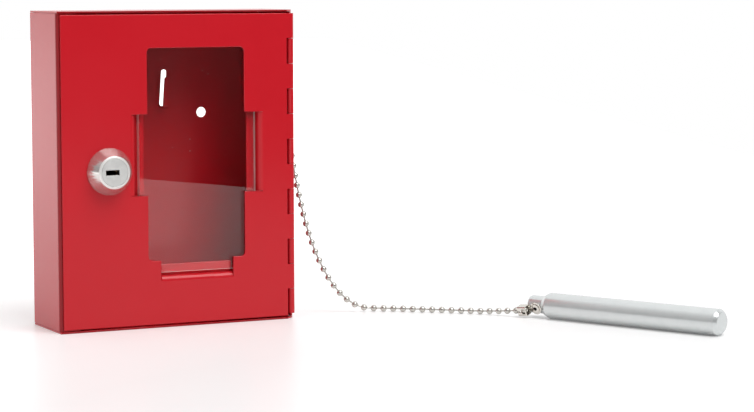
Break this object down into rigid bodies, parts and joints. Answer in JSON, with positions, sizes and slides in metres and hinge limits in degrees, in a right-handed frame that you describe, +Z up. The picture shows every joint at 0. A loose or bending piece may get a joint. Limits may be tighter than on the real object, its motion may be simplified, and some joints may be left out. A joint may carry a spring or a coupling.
{
  "type": "break glass key box",
  "caption": "Small folded steel wall box with a hinged, glazed door, a cam lock, a key hook inside and a striker rod on a ball chain.",
  "frame": {"origin": "centre of the case's bottom face, which it stands on", "axes": "+X to the right along the closed door, towards the hinge and the chain; +Y to the back of the case, towards the wall; +Z up"},
  "size_m": [0.2753, 0.1869, 0.15],
  "materials": {
    "red_paint": "smooth satin red powder coat on steel sheet",
    "glass": "clear float glass with cut edges",
    "nickel": "bright nickel plate",
    "zinc": "zinc plated steel",
    "rod_zinc": "pale satin zinc plate on turned steel",
    "steel": "plain steel, dull",
    "aluminium": "plain aluminium",
    "brass": "stamped brass"
  },
  "bodies": {
    "case": {"housing": "red_paint", "hinge_pin": "zinc", "anchor_rivet": "aluminium", "anchor_rivet_stem": "steel", "wall_coupling": "nickel", "chain_beads": "nickel", "chain_links": "nickel", "rod_coupling": "nickel"},
    "door": {"door_panel": "red_paint", "glass_pane": "glass", "lock_housing": "nickel", "lock_washer": "zinc", "lock_nut": "zinc"},
    "plug": {"lock_plug": "nickel", "stop_washer": "zinc", "lock_cam": "zinc", "cam_lockwasher": "zinc", "cam_screw": "zinc"},
    "wafers": {"plug_wafers": "brass"},
    "rod": {"striker_rod": "rod_zinc", "pivot_rivet": "nickel"}
  },
  "joints": [
    {"name": "door_hinge", "type": "hinge", "parent": "case", "child": "door", "pos_m": [0.05842, -0.01842, 0.075], "axis": [0, 0, 1], "range_deg": [0, 150]},
    {"name": "lock_turn", "type": "hinge", "parent": "door", "child": "plug", "pos_m": [-0.0353, -0.0192, 0.0752], "axis": [0, 1, 0], "range_deg": [0, 90]},
    {"name": "wafer_slide", "type": "slide", "parent": "plug", "child": "wafers", "axis": [1, 0, 0], "range_m": [0, 0.0005], "stiffness_N_per_m": 40, "springref_m": 0.0006},
    {"name": "rod_pivot", "type": "hinge", "parent": "case", "child": "rod", "pos_m": [0.16751, -0.07225, 0.00635], "axis": [-0.8537, -0.3927, -0.342], "range_deg": [0, 25]}
  ]
}
